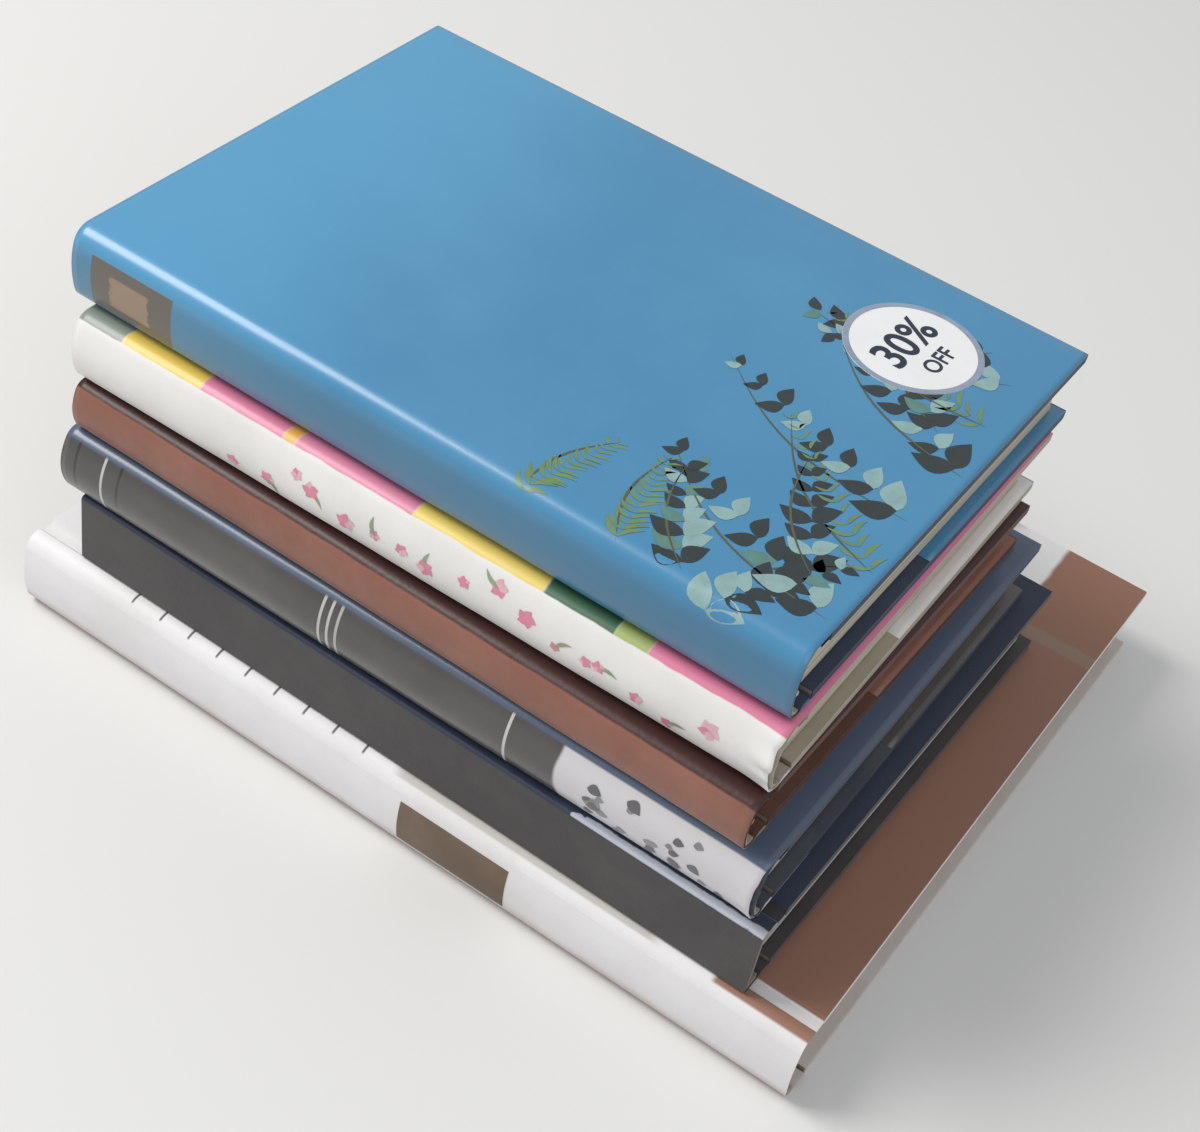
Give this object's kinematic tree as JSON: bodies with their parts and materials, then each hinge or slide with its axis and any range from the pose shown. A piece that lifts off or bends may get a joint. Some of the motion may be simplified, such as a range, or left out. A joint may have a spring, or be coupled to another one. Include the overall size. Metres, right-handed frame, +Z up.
{
  "type": "stack of books",
  "caption": "Stack of hardback books lying flat with their spines to one side, some in paper jackets, the top front cover opening along its spine joint.",
  "frame": {"origin": "middle of the stack's footprint on the surface it lies on", "axes": "+X along the spines from heads to tails, +Y from the spines to the fore-edges, +Z up"},
  "size_m": [0.279, 0.2331, 0.1387],
  "materials": {
    "binders_board": "grey-brown dense board",
    "blue_band": "woven cotton band",
    "blue_case": "fine embossed case paper",
    "blue_endpaper": "uncoated",
    "blue_jacket": "satin laminated paper",
    "blue_pages": "uncoated page edges",
    "brown_band": "woven cotton band",
    "brown_case": "fine embossed case paper",
    "brown_endpaper": "uncoated",
    "brown_jacket": "satin coated paper",
    "brown_pages": "uncoated page edges",
    "charcoal_band": "woven cotton band",
    "charcoal_case": "matt laminated case paper with scuffed edges",
    "charcoal_endpaper": "uncoated",
    "charcoal_pages": "uncoated page edges",
    "floral_band": "woven cotton band",
    "floral_case": "fine embossed case paper",
    "floral_endpaper": "uncoated",
    "floral_jacket": "matt coated paper",
    "floral_pages": "uncoated page edges",
    "label_paper": "one dark neutral, matt",
    "slate_band": "woven cotton band",
    "slate_case": "fine embossed case paper",
    "slate_endpaper": "uncoated",
    "slate_jacket": "satin laminated paper",
    "slate_pages": "uncoated page edges",
    "spine_card": "thin card",
    "sticker_paper": "coated paper, grey ring on white",
    "white_band": "woven cotton band",
    "white_case": "embossed linen-look case cloth",
    "white_endpaper": "uncoated",
    "white_pages": "uncoated page edges"
  },
  "bodies": {
    "books": {"blue_book_back_board": "binders_board", "blue_book_back_endpaper": "blue_endpaper", "blue_book_case_back": "blue_case", "blue_book_head_band": "blue_band", "blue_book_jacket_back": "blue_jacket", "blue_book_pages": "blue_pages", "blue_book_spine_card": "spine_card", "blue_book_tail_band": "blue_band", "brown_book_back_board": "binders_board", "brown_book_back_endpaper": "brown_endpaper", "brown_book_bands": "brown_band", "brown_book_case": "brown_case", "brown_book_front_board": "binders_board", "brown_book_front_endpaper": "brown_endpaper", "brown_book_jacket": "brown_jacket", "brown_book_pages": "brown_pages", "brown_book_spine_card": "spine_card", "charcoal_book_back_board": "binders_board", "charcoal_book_back_endpaper": "charcoal_endpaper", "charcoal_book_bands": "charcoal_band", "charcoal_book_case": "charcoal_case", "charcoal_book_front_board": "binders_board", "charcoal_book_front_endpaper": "charcoal_endpaper", "charcoal_book_pages": "charcoal_pages", "charcoal_book_spine_board": "spine_card", "floral_book_back_board": "binders_board", "floral_book_back_endpaper": "floral_endpaper", "floral_book_bands": "floral_band", "floral_book_case": "floral_case", "floral_book_front_board": "binders_board", "floral_book_front_endpaper": "floral_endpaper", "floral_book_jacket": "floral_jacket", "floral_book_pages": "floral_pages", "floral_book_spine_card": "spine_card", "slate_book_back_board": "binders_board", "slate_book_back_endpaper": "slate_endpaper", "slate_book_bands": "slate_band", "slate_book_case": "slate_case", "slate_book_front_board": "binders_board", "slate_book_front_endpaper": "slate_endpaper", "slate_book_jacket": "slate_jacket", "slate_book_pages": "slate_pages", "slate_book_spine_card": "spine_card", "spine_label": "label_paper", "white_book_back_board": "binders_board", "white_book_back_endpaper": "white_endpaper", "white_book_bands": "white_band", "white_book_case": "white_case", "white_book_front_board": "binders_board", "white_book_front_endpaper": "white_endpaper", "white_book_pages": "white_pages", "white_book_spine_card": "spine_card"},
    "front_cover": {"blue_book_front_board": "binders_board", "blue_book_case_front": "blue_case", "blue_book_front_endpaper": "blue_endpaper", "blue_book_jacket_front": "blue_jacket", "round_sticker": "sticker_paper"}
  },
  "joints": [
    {"name": "front_cover_hinge", "type": "hinge", "parent": "books", "child": "front_cover", "pos_m": [0, -0.092, 0.13865], "axis": [1, 0, 0], "range_deg": [0, 180]}
  ]
}
